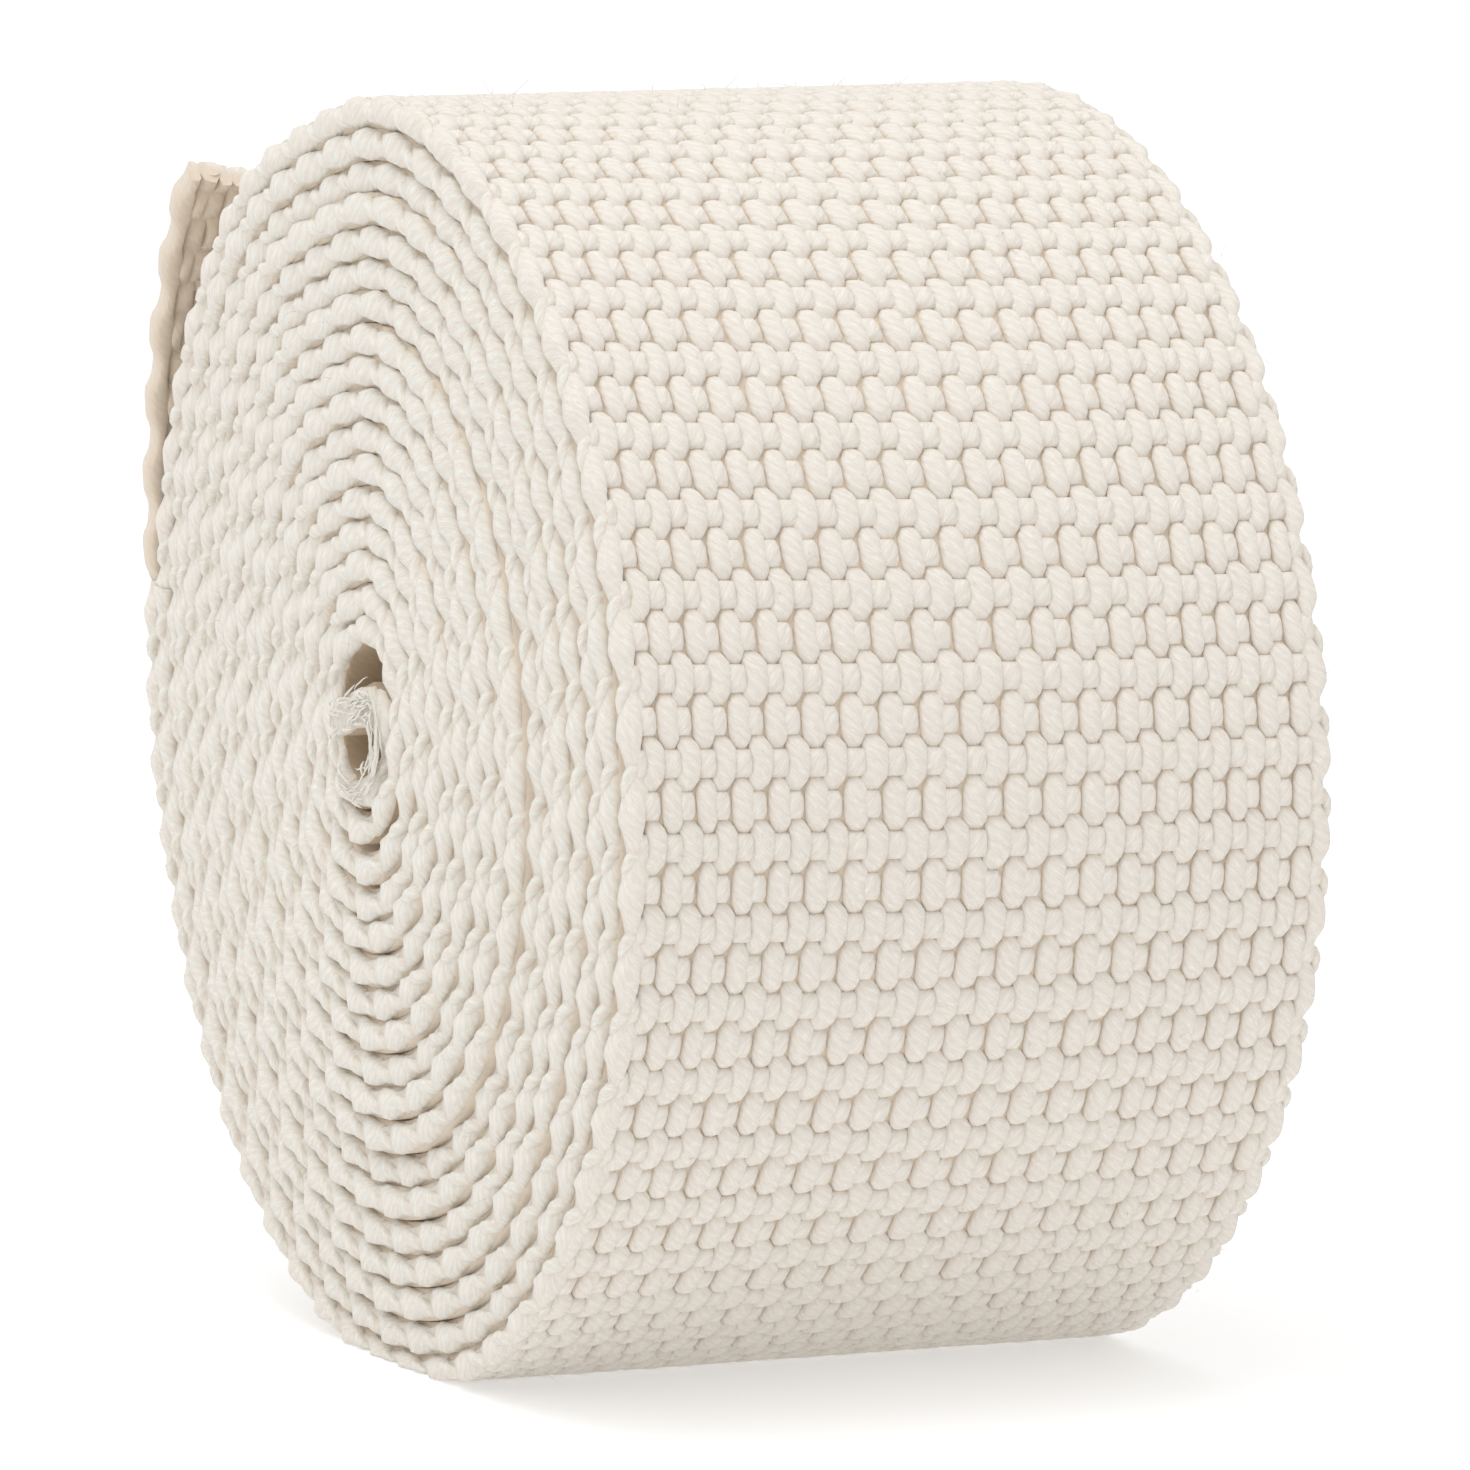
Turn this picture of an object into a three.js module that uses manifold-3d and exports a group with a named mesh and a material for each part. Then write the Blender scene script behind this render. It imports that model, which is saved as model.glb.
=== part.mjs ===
// Roll of cotton webbing, standing on its rim. Millimetres, +Z up.
// The winding axis runs along X. The origin is the middle of the flat spot under the roll.
// Angles are in degrees about the winding axis, from +Y (the back) towards +Z (the top).
import * as THREE from "three";
import * as BufferGeometryUtils from "three/addons/utils/BufferGeometryUtils.js";
import Module from "manifold-3d";

const WEBBING_WIDTH = 38;
const WEBBING_THICKNESS = 1.6;
const TURN_PITCH = 1.67;
const TURNS = 17;
const OUTER_RADIUS = 33.4;
const LEAVING_ANGLE = 9;
const AXIS_HEIGHT = 32.32;
const PIECE_GAP = 0.3;

// Relief of the turns on both end faces.
const STEPS_PER_TURN = 40;
const SELVEDGE_DEPTH = 0.5;
const RINGS_PER_TURN = 2;

// How far each turn has slid along the axis, counted inwards from the loose end.
const SLIPPED_TURNS = [
  { turn: 0.0, slip: 0.3 },
  { turn: 1.2, slip: 0.1 },
  { turn: 3.0, slip: 0.0 },
  { turn: 3.5, slip: -0.35 },
  { turn: 6.8, slip: -0.35 },
  { turn: 7.3, slip: -0.95 },
  { turn: 18.0, slip: -1.2 },
];
// The slip is fullest low on the front of the roll.
const SLIP_ANGLE = 225;
const SLIP_EVEN = 0.72;

// The two gaps beside the webbing's inner end, which crosses the core.
const CORE_GAPS = [
  { y: 0.3, z: 2.15, width: 5.4, height: 2.1 },
  { y: 0.1, z: -2.25, width: 5.0, height: 2.0 },
];

// The outer face of the loose end stands off the roll, past the outer radius by this lift.
const LOOSE_END_LIFT = [
  { angle: 9, lift: 0.25 },
  { angle: 17, lift: 0.9 },
  { angle: 26, lift: 2.4 },
  { angle: 34, lift: 3.3 },
  { angle: 42, lift: 3.7 },
];
const LOOSE_END_ANGLE = 42;
const LOOSE_END_STEPS = 10;
const LOOSE_END_COLUMNS = 5;
const CUT_SLANT = 7;
const EDGE_ROUND = 0.45;

const COTTON = new THREE.Color(0xe6dfd4);

const wasm = await Module();
wasm.setup();

// The value of one column of a table, on straight lines between its rows.
function readTable(rows, key, column, at) {
  const last = rows[rows.length - 1];
  if (at <= rows[0][key]) return rows[0][column];
  if (at >= last[key]) return last[column];
  const next = rows.findIndex((row) => row[key] > at);
  const before = rows[next - 1];
  const share = (at - before[key]) / (rows[next][key] - before[key]);
  return THREE.MathUtils.lerp(before[column], rows[next][column], share);
}

// A point at a radius and angle about the winding axis.
function pointAt(x, radius, degrees) {
  const angle = THREE.MathUtils.degToRad(degrees);
  return [x, radius * Math.cos(angle), AXIS_HEIGHT + radius * Math.sin(angle)];
}

function slipAt(turn, degrees) {
  const lean = Math.cos(THREE.MathUtils.degToRad(degrees - SLIP_ANGLE));
  const slip = readTable(SLIPPED_TURNS, "turn", "slip", turn);
  return slip * (SLIP_EVEN + (1 - SLIP_EVEN) * lean);
}

// The radius falls by one pitch a turn. Ring 0 is the outer face of a turn, and the ring after a
// turn's last one is ring 0 of the next turn in.
function windingPoint(step, ring, side) {
  const turn = step / STEPS_PER_TURN;
  const share = ring / RINGS_PER_TURN;
  const degrees = LEAVING_ANGLE - 360 * turn;
  const depth = SELVEDGE_DEPTH * Math.abs(1 - 2 * share);
  const x = side * (WEBBING_WIDTH / 2 - depth) + slipAt(turn, degrees);
  return pointAt(x, OUTER_RADIUS - TURN_PITCH * (turn + share), degrees);
}

function geometryOf(positions, triangles) {
  const geometry = new THREE.BufferGeometry();
  geometry.setAttribute("position", new THREE.Float32BufferAttribute(positions, 3));
  geometry.setIndex(triangles);
  return geometry;
}

// The wound form: two end faces on one spiral lattice, the outer turn's wall and its step.
function windingGeometry() {
  const positions = [];
  const triangles = [];
  const places = new Map();
  const lastStep = TURNS * STEPS_PER_TURN;

  function corner(step, ring, side) {
    const atStep = ring === RINGS_PER_TURN ? step + STEPS_PER_TURN : step;
    const atRing = ring % RINGS_PER_TURN;
    const key = `${atStep} ${atRing} ${side}`;
    if (!places.has(key)) {
      places.set(key, positions.length / 3);
      positions.push(...windingPoint(atStep, atRing, side));
    }
    return places.get(key);
  }

  function triangle(a, b, c, side) {
    triangles.push(...(side < 0 ? [a, b, c] : [a, c, b]));
  }

  for (const side of [-1, 1]) {
    for (let step = 0; step < lastStep; step += 1) {
      for (let ring = 0; ring < RINGS_PER_TURN; ring += 1) {
        const a = corner(step, ring, side);
        const b = corner(step + 1, ring, side);
        const c = corner(step + 1, ring + 1, side);
        const d = corner(step, ring + 1, side);
        triangle(a, b, c, side);
        triangle(a, c, d, side);
      }
    }
    // The core is closed by a fan, whose first triangle is split along the last turn's step.
    const middle = positions.length / 3;
    const slip = slipAt(TURNS, SLIP_ANGLE);
    positions.push(...pointAt(side * (WEBBING_WIDTH / 2 - SELVEDGE_DEPTH) + slip, 0, 0));
    const first = corner(lastStep + 1, 0, side);
    triangle(first, middle, corner(lastStep, RINGS_PER_TURN, side), side);
    for (let ring = RINGS_PER_TURN; ring > 0; ring -= 1) {
      triangle(first, corner(lastStep, ring, side), corner(lastStep, ring - 1, side), side);
    }
    for (let step = lastStep + 1; step < lastStep + STEPS_PER_TURN; step += 1) {
      triangle(middle, corner(step, 0, side), corner(step + 1, 0, side), side);
    }
  }

  function wall(near, nextNear, far, nextFar) {
    triangles.push(near, far, nextFar);
    triangles.push(near, nextFar, nextNear);
  }
  for (let step = 0; step < STEPS_PER_TURN; step += 1) {
    const near = corner(step, 0, -1);
    const far = corner(step, 0, 1);
    wall(near, corner(step + 1, 0, -1), far, corner(step + 1, 0, 1));
  }
  for (let ring = 0; ring < RINGS_PER_TURN; ring += 1) {
    const near = corner(0, ring, -1);
    const far = corner(0, ring, 1);
    wall(corner(0, ring + 1, -1), near, corner(0, ring + 1, 1), far);
  }
  return geometryOf(positions, triangles);
}

// A gap through the whole core, with round ends.
function coreGapGeometry(gap) {
  const round = gap.height / 2;
  const straight = gap.width / 2 - round;
  const outline = new THREE.Shape();
  outline.absarc(straight, 0, round, -Math.PI / 2, Math.PI / 2, false);
  outline.absarc(-straight, 0, round, Math.PI / 2, 1.5 * Math.PI, false);
  const length = 2 * WEBBING_WIDTH;
  const geometry = new THREE.ExtrudeGeometry(outline, {
    depth: length,
    bevelEnabled: false,
    curveSegments: 5,
  });
  // The outline's x and y become the part's Y and Z, and its depth becomes X.
  const turned = new THREE.Matrix4().makeBasis(
    new THREE.Vector3(0, 1, 0),
    new THREE.Vector3(0, 0, 1),
    new THREE.Vector3(1, 0, 0),
  );
  geometry.applyMatrix4(turned);
  geometry.translate(-length / 2, gap.y, AXIS_HEIGHT + gap.z);
  return geometry;
}

// Whatever lies below the surface that the roll stands on.
function groundGeometry() {
  const side = 4 * OUTER_RADIUS;
  const geometry = new THREE.BoxGeometry(side, side, OUTER_RADIUS);
  geometry.translate(0, 0, -OUTER_RADIUS / 2);
  return geometry;
}

function toSolid(geometry) {
  const bare = geometry.clone();
  bare.deleteAttribute("normal");
  bare.deleteAttribute("uv");
  const merged = BufferGeometryUtils.mergeVertices(bare);
  return new wasm.Manifold(new wasm.Mesh({
    numProp: 3,
    vertProperties: new Float32Array(merged.attributes.position.array),
    triVerts: new Uint32Array(merged.index.array),
  }));
}

function toGeometry(solid) {
  const mesh = solid.getMesh();
  return geometryOf(Array.from(mesh.vertProperties), Array.from(mesh.triVerts));
}

function rollGeometry() {
  let solid = toSolid(windingGeometry());
  for (const gap of CORE_GAPS) {
    solid = solid.subtract(toSolid(coreGapGeometry(gap)));
  }
  return toGeometry(solid.subtract(toSolid(groundGeometry())));
}

// The section across the loose end: a flat band with rounded selvedges. The inner face's corners
// run from the near selvedge to the far one, and the outer face's run back.
function sectionAcross() {
  const half = WEBBING_WIDTH / 2;
  const flat = half - EDGE_ROUND;
  const thick = WEBBING_THICKNESS / 2;
  const columns = [{ x: -half, thick: thick - EDGE_ROUND }];
  for (let column = 0; column <= LOOSE_END_COLUMNS; column += 1) {
    const x = THREE.MathUtils.lerp(-flat, flat, column / LOOSE_END_COLUMNS);
    columns.push({ x, thick });
  }
  columns.push({ x: half, thick: thick - EDGE_ROUND });
  const inner = columns.map((column) => ({ x: column.x, out: -column.thick }));
  const outer = columns.map((column) => ({ x: column.x, out: column.thick }));
  return [...inner, ...outer.reverse()];
}

// The angle at which the cut ends the webbing: highest at the near selvedge, and bowed.
function cutAngle(x) {
  const toFarSide = x / WEBBING_WIDTH + 0.5;
  return LOOSE_END_ANGLE - CUT_SLANT * (1 - (1 - toFarSide) ** 2);
}

// The section carried round from the step, where each corner's path ends at the cut.
function looseEndGeometry() {
  const section = sectionAcross();
  const count = section.length;
  const positions = [];
  const triangles = [];
  const gapAngle = THREE.MathUtils.radToDeg(PIECE_GAP / OUTER_RADIUS);
  const slip = SLIPPED_TURNS[0].slip;
  for (let step = 0; step <= LOOSE_END_STEPS; step += 1) {
    for (const corner of section) {
      const start = LEAVING_ANGLE + gapAngle;
      const share = step / LOOSE_END_STEPS;
      const degrees = THREE.MathUtils.lerp(start, cutAngle(corner.x), share);
      const lift = readTable(LOOSE_END_LIFT, "angle", "lift", degrees);
      const radius = OUTER_RADIUS + lift - WEBBING_THICKNESS / 2 + corner.out;
      positions.push(...pointAt(corner.x + slip, radius, degrees));
    }
  }
  for (let step = 0; step < LOOSE_END_STEPS; step += 1) {
    for (let i = 0; i < count; i += 1) {
      const a = step * count + i;
      const b = step * count + ((i + 1) % count);
      triangles.push(a, b, b + count);
      triangles.push(a, b + count, a + count);
    }
  }
  const tip = LOOSE_END_STEPS * count;
  for (let i = 0; i < count / 2 - 1; i += 1) {
    const facing = count - 1 - i;
    triangles.push(i, facing, facing - 1);
    triangles.push(i, facing - 1, i + 1);
    triangles.push(tip + i, tip + i + 1, tip + facing - 1);
    triangles.push(tip + i, tip + facing - 1, tip + facing);
  }
  return geometryOf(positions, triangles);
}

function clothMesh(name, geometry) {
  const cloth = new THREE.MeshStandardMaterial({ color: COTTON, roughness: 0.95, metalness: 0 });
  const mesh = new THREE.Mesh(geometry, cloth);
  mesh.name = name;
  return mesh;
}

const part = new THREE.Group();
part.name = "webbing_roll";
part.add(clothMesh("roll", rollGeometry()));
part.add(clothMesh("loose_end", looseEndGeometry()));

export default part;
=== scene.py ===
"""Roll of cotton webbing: woven outer turn, wound inner turns, loose end, frayed and stray threads.

Metres, +Z up. The winding axis runs along X, and the roll stands on its rim at the origin.
Angles are about the winding axis, from +Y (the back) towards +Z (the top).
"""

import bpy
import numpy as np
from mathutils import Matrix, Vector


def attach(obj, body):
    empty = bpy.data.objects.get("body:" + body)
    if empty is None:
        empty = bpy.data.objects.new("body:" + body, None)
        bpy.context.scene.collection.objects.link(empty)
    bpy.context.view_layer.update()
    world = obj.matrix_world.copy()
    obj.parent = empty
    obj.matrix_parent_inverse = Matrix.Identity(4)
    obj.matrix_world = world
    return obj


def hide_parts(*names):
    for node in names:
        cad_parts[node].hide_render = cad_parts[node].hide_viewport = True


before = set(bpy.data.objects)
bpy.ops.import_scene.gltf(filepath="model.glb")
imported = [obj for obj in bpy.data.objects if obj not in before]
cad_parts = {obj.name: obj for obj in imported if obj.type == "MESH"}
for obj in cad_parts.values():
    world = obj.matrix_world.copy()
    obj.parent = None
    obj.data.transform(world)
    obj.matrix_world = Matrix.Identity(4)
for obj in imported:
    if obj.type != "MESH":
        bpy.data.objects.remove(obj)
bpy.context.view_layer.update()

bl_info = {
    "name": "Cotton Webbing Roll",
    "version": (1, 0, 0),
    "blender": (4, 5, 0),
    "location": "View3D > Sidebar > Webbing",
    "description": "Weaves and winds a roll of natural cotton webbing",
    "category": "Object",
}

MM = 0.001
TAU = 2.0 * np.pi
BODY = "root"
SEED = 38

# How far each turn has slid along the axis, counted inwards from the loose end.
SLIPPED_TURNS = (
    {"turn": 0.0, "slip": 0.3 * MM},
    {"turn": 1.2, "slip": 0.1 * MM},
    {"turn": 3.0, "slip": 0.0},
    {"turn": 3.5, "slip": -0.35 * MM},
    {"turn": 6.8, "slip": -0.35 * MM},
    {"turn": 7.3, "slip": -0.80 * MM},
    {"turn": 18.0, "slip": -1.2 * MM},
)

# Slow waves of the wound line, each as waves to a turn and their size: in its radius, and along the axis.
RADIUS_WAVES = ((1.618, 0.035 * MM), (2.93, 0.025 * MM))
SLIP_WAVES = ((1.37, 0.07 * MM), (2.61, 0.05 * MM), (5.3, 0.03 * MM))

# The wound line: its steps, its degrees past the cut, the turns that are tucked in, the dent's spread.
STEPS_A_TURN = 720.0
PAST_CUT = 4.0
TUCK_START = 14.5
TUCK_TURNS = 2.5
DENT_SPREAD = 0.03

# The inner end: steps of its bend, how straight it starts and stops, and where it swells.
BEND_STEPS = 60
BEND_START = 1.7 * MM
BEND_STOP = 3.2 * MM
SWELL_BEFORE = 2.0 * MM
SWELL_OVER = 4.0 * MM

# How a weft yarn lies in each pair of warp yarns, at even and at odd picks, from the first yarn's middle.
PICK_WAVE = (
    {"across": -0.28 * MM, "even": "low", "odd": "high"},
    {"across": 0.09 * MM, "even": "low", "odd": "high"},
    {"across": 0.45 * MM, "even": "high", "odd": "high"},
    {"across": 0.66 * MM, "even": "high", "odd": "low"},
    {"across": 1.06 * MM, "even": "high", "odd": "low"},
    {"across": 1.38 * MM, "even": "dropped", "odd": "low"},
)
WEFT_EDGE = 0.6 * MM

# Sections of the yarns that show, in degrees from their right side over their top, where they are finest.
WARP_SECTION = (-20.0, 20.0, 55.0, 90.0, 125.0, 160.0, 200.0, 270.0)
WEFT_SECTION = (0.0, 36.0, 72.0, 108.0, 144.0, 180.0, 270.0)

# Powers of the superellipses that the yarns' sections are.
WARP_POWER = 3.2
WEFT_POWER = 2.5

# Where a warp yarn's rings lie in the outer turn, in repeats from a crown.
WARP_STEPS = (-0.4, -0.32, -0.24, -0.16, -0.08, 0.0, 0.08, 0.16, 0.24, 0.32, 0.4, 0.5)
LEAST_STEP = 0.03

# How squarely a warp yarn rises and falls, and the part of a crown over which it reaches its full width.
SQUARENESS = 2.2
FULL_START = 0.1
FULL_OVER = 0.65

# Radii at which the uv maps are rolled out, and their shifts from yarn to yarn.
WARP_ROUND, WARP_SHIFT = 0.6 * MM, 7.0 * MM
WEFT_ROUND, WEFT_SHIFT = 0.55 * MM, 5.0 * MM
LOOP_ROUND, LOOP_SHIFT = 0.3 * MM, 3.0 * MM
THREAD_ROUND = 0.2 * MM

# The first yarns of the outer turn's middle and far pieces of warp.
WARP_SPLITS = (13, 25)

# Rings a repeat and sides of the two outermost warp yarns of the inner turns.
EDGE_RINGS = (10, 6)
EDGE_SIDES = (8, 6)

# The weft's loops: rings and sides, how far they turn in degrees, their reach in and their rise.
LOOP_RINGS = 9
LOOP_SIDES = 6
LOOP_TURN = 100.0
LOOP_REACH = 0.9 * MM
LOOP_RISE = 0.40 * MM

# The hidden ground: its steps, its start, how far its faces end within its edges, its overlap with the
# next turn and the length over which it fills up. Then the turns over which the core is painted dark with
# shade, and its fade.
GROUND_STEP = 1.2 * MM
GROUND_START = 0.5 * MM
GROUND_LIP = 0.1 * MM
GROUND_OVERLAP = 0.02 * MM
GROUND_FILLS = 2.0 * MM
CORE_TURNS = 1.4
CORE_FADE = 4.0 * MM

# The loose end: rings and sides, its edge yarns' bulge, the weft's least half thickness and its share at
# the selvedges, and the share of the inner face's painted shade on the near edge.
LOOSE_RINGS = 76
LOOSE_WEFT_RINGS = 54
LOOSE_SIDES = 10
LOOSE_BULGE = 0.3
LOOSE_THIN = 0.12 * MM
LOOSE_LIP = 0.15
LOOSE_EDGE_SHADE = 0.7

# Threads of the frayed inner end, and stray fibres. Pairs are ranges that are drawn from.
FRAYED = {
    "count": 100, "rings": 6, "sides": 6, "over": 14.0 * MM, "long": (0.7 * MM, 2.2 * MM),
    "stop": 0.2 * MM, "stand": 0.02 * MM, "bulge": (0.02 * MM, 0.12 * MM), "power": 0.7, "tilt": 0.25 * MM,
    "spread": 0.42, "wave": 0.03 * MM, "waves": (0.8, 2.0), "thick": (0.04 * MM, 0.08 * MM), "tip": 0.35,
}
STRAY = {
    "count": 1100, "rings": 5, "sides": 3, "edge": 0.4, "inset": 0.1 * MM, "stand": 0.48,
    "shape": 3.0, "long": 0.17 * MM, "outward": 1.1, "curl": 0.9, "thick": 0.016 * MM, "taper": 0.6,
    "floor": 0.05 * MM,
}

# The floor, and lights as places, sizes and powers in watts.
FLOOR_HALF = 4.0
FLOOR_GREY = 0.65
FLOOR_ROUGHNESS = 0.8
FLOOR_GLOW = 0.40
LIGHTS = (
    {"name": "key_light", "place": (-0.25, -0.2, 1.0), "size": (0.5, 0.5), "power": 2.2},
    {"name": "fill_light", "place": (-0.7, -0.2, 0.5), "size": (0.6, 0.4), "power": 0.55},
)

# The photograph's frame in points, and the camera's sensor in millimetres.
PICTURE = 1470.0
SENSOR = 36.0
CLIP_START = 0.01


def length(name, description, default):
    return bpy.props.FloatProperty(
        name=name, description=description, default=default, unit="LENGTH", precision=5
    )


def number(name, description, default):
    return bpy.props.FloatProperty(name=name, description=description, default=default)


def colour(name, description, default):
    return bpy.props.FloatVectorProperty(
        name=name, description=description, default=default, subtype="COLOR", size=3, min=0.0, max=1.0
    )


class RollSizes(bpy.types.PropertyGroup):
    """The wound roll."""

    width: length("Width", "Width of the webbing", 37.7 * MM)
    thickness: length("Thickness", "Thickness of the webbing", 1.6 * MM)
    pitch: length("Turn Pitch", "How much the radius falls in a turn", 1.67 * MM)
    outer_radius: length("Outer Radius", "Radius of the outer face where the loose end leaves", 33.7 * MM)
    axis_height: length("Axis Height", "Height of the winding axis over the floor", 32.32 * MM)
    turns: number("Turns", "Turns before the inner end crosses the core", 17.56)
    leaving_angle: number("Leaving Angle", "Where the loose end leaves, in degrees", 9.0)
    loose_angle: number("Loose End Angle", "Where the loose end is cut, in degrees", 47.3)
    lift_start: number("Lift Start", "Where the loose end starts to lift, in degrees", 3.0)
    lift: length("Lift", "How far the loose end stands off at its cut", 4.3 * MM)
    cut_slant: number("Cut Slant", "How far the cut falls towards the far selvedge, in degrees", 7.0)
    slip_angle: number("Slip Angle", "Where the turns have slid most, in degrees", 225.0)
    slip_even: number("Even Slip", "Share of the slip that is the same all round", 0.72)
    core_rise: length("Core Rise", "How far the core lies above the rim's middle", 0.45 * MM)
    lean: length("Lean", "How far the turns lean to the near side at the top", 0.9 * MM)
    core_tuck: length("Core Tuck", "How far the innermost turns are tucked in at their foot", 0.6 * MM)
    dent: length("Dent", "How far the near rim has sunk at the top", 1.0 * MM)
    dent_angle: number("Dent Angle", "Where it has sunk most, in degrees", 76.0)
    press: length("Press", "How softly the floor presses the lowest yarns", 0.12 * MM)
    core_swell: number("Core Swell", "Share by which the inner end is looser and thicker", 0.3)
    core_end_y: length("Core End Y", "Where the inner end stops, behind the axis", 2.7 * MM)
    core_end_z: length("Core End Z", "Where the inner end stops, above the axis", 0.7 * MM)


class WeaveSizes(bpy.types.PropertyGroup):
    """The plain weave of paired warp yarns, with a narrow gap between one pair and the next."""

    pairs: bpy.props.IntProperty(name="Pairs", description="Pairs of warp yarns across", default=19)
    repeat: length("Repeat", "Length of two picks", 4.0 * MM)
    crowding: number("Crowding", "How much closer the pairs lie at the selvedges than between them", 0.09)
    first_half: length("First Yarn", "Half the width of a pair's first yarn at its crown", 0.60 * MM)
    first_end: length("First Yarn Ends", "Half its width where it dips", 0.34 * MM)
    first_sway: length("First Sway", "How far the first yarn draws to the second where it dips", 0.08 * MM)
    second_half: length("Second Yarn", "Half the width of a pair's second yarn at its crown", 0.65 * MM)
    second_end: length("Second Yarn Ends", "Half its width where it dips", 0.37 * MM)
    nest: length("Nesting", "From a pair's first yarn to its second, at the crown", 1.08 * MM)
    second_sway: length("Second Sway", "How far the second yarn draws to the first where it dips", 0.30 * MM)
    lean: length("Lean", "How far the second yarn's beads lean sideways", 0.06 * MM)
    start: length("Start", "How far before the step a first yarn's crown lies", 1.5 * MM)
    skew: length("Skew", "How far the picks fall behind from the near selvedge to the far one", 0.8 * MM)
    yarn_height: length("Yarn Height", "Half the height of a warp yarn", 0.50 * MM)
    yarn_stay: number("Yarn Stay", "How much longer than half a repeat the yarns that show stay up", 0.4)
    edge_height: length("Edge Height", "Half the height of the outermost warp yarns", 0.72 * MM)
    edge_rise: length("Edge Rise", "How far the outermost warp yarns rise and fall", 0.06 * MM)
    edge_swell: number("Edge Swell", "Share by which they are fatter between the weft's loops", 0.13)
    edge_bulge: length("Edge Bulge", "How far they bulge out between the weft's loops", 0.14 * MM)
    pick_height: length("Pick Height", "Half the height of a weft yarn", 0.50 * MM)
    pick_length: length("Pick Length", "Half the width of a weft yarn, along the webbing", 0.74 * MM)
    pick_rise: length("Pick Rise", "How far a weft yarn rises over the warp yarns that dip", 0.29 * MM)
    pick_fall: length("Pick Fall", "How far it falls under the warp yarns that crown", 0.18 * MM)
    pick_drop: length("Pick Drop", "How far it drops in the gap between two pairs", 0.10 * MM)
    bed: length("Bed", "How high the closed ground between the yarns lies", 0.36 * MM)
    loop_radius: length("Loop Radius", "Radius of the weft's loops at the selvedges", 0.38 * MM)
    loop_stand: length("Loop Stand", "How far the loops stand out from the outermost yarns", 0.06 * MM)


class CottonLook(bpy.types.PropertyGroup):
    """The cotton's colours, with their painted highlights and painted shade, and its finish."""

    crown: colour("Crown", "Colour of the yarns", (0.80, 0.746, 0.678))
    # Valley: painted shade between the plies, so that the crests, in the crown colour, read as painted
    # highlights.
    ply_valley_shade: colour("Valley", "Colour between the plies of a yarn", (0.765, 0.706, 0.632))
    # Selvedge: the end faces' yarns are painted whiter, a painted highlight for the stronger light on the end
    # faces.
    selvedge: colour("Selvedge", "Colour of the yarns on the end faces", (0.78, 0.775, 0.712))
    # Groove: painted shade, a darker beige laid deep between the yarns and between the turns.
    groove_shade: colour("Groove", "Colour deep between the yarns", (0.72, 0.61, 0.48))
    # Shade: painted shade, the dark colour laid on the core's walls.
    shade: colour("Shade", "Colour deep in the core", (0.42, 0.31, 0.2))
    fleck: colour("Fleck", "Colour of the bright fibres", (0.96, 0.94, 0.88))
    # Painted shade on the loose end's inner face, which faces the roll.
    inner_face_shade: number("Lining", "How deep the loose end's inner face is shaded, from 0 to 1", 0.9)
    # Groove Share: how strongly the painted groove shade is laid on.
    groove_shade_share: number("Groove Share", "How strongly the grooves are coloured, from 0 to 1", 0.85)
    relief: number("Relief", "How strongly the plies and fibres stand out", 0.24)
    relief_height: length("Relief Height", "Height of the plies and fibres", 0.2 * MM)
    roughness: number("Roughness", "Roughness of the cotton", 0.9)
    gloss: number("Gloss", "Specular level of the cotton", 0.25)
    sheen: number("Sheen", "Weight of the soft sheen", 0.25)
    sheen_roughness: number("Sheen Roughness", "Roughness of the soft sheen", 0.5)


class StageLook(bpy.types.PropertyGroup):
    """Light and camera."""

    azimuth: number("Azimuth", "The camera's angle about Z, in degrees", -23.5)
    elevation: number("Elevation", "The camera's angle over the floor, in degrees", 5.8)
    distance: length("Distance", "From the camera to the roll's middle", 0.5)
    scale: number("Scale", "Picture points to a millimetre at the roll's middle", 19.5)
    glow_low: number("Low Glow", "Strength of the light from the horizon", 0.45)
    glow_high: number("High Glow", "Strength of the light from straight above", 1.24)
    middle_x: number("Middle X", "The roll's middle in a picture 1470 points wide", 712.4)
    middle_y: number("Middle Y", "The roll's middle in a picture 1470 points high", 717.6)


def smoothstep(value):
    """0 below 0, 1 above 1, and 3 v^2 - 2 v^3 between."""
    value = np.clip(value, 0.0, 1.0)
    return value * value * (3.0 - 2.0 * value)


def even_degrees(sides):
    """Evenly spaced angles round a tube."""
    return np.arange(sides) * 360.0 / sides


def superellipse(angle, power):
    """Sideways and upwards places on a superellipse: an angle's cosine and sine, each to 2 / power."""
    power = 2.0 / power
    side = np.sign(np.cos(angle)) * np.abs(np.cos(angle)) ** power
    top = np.sign(np.sin(angle)) * np.abs(np.sin(angle)) ** power
    return side, top


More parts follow.
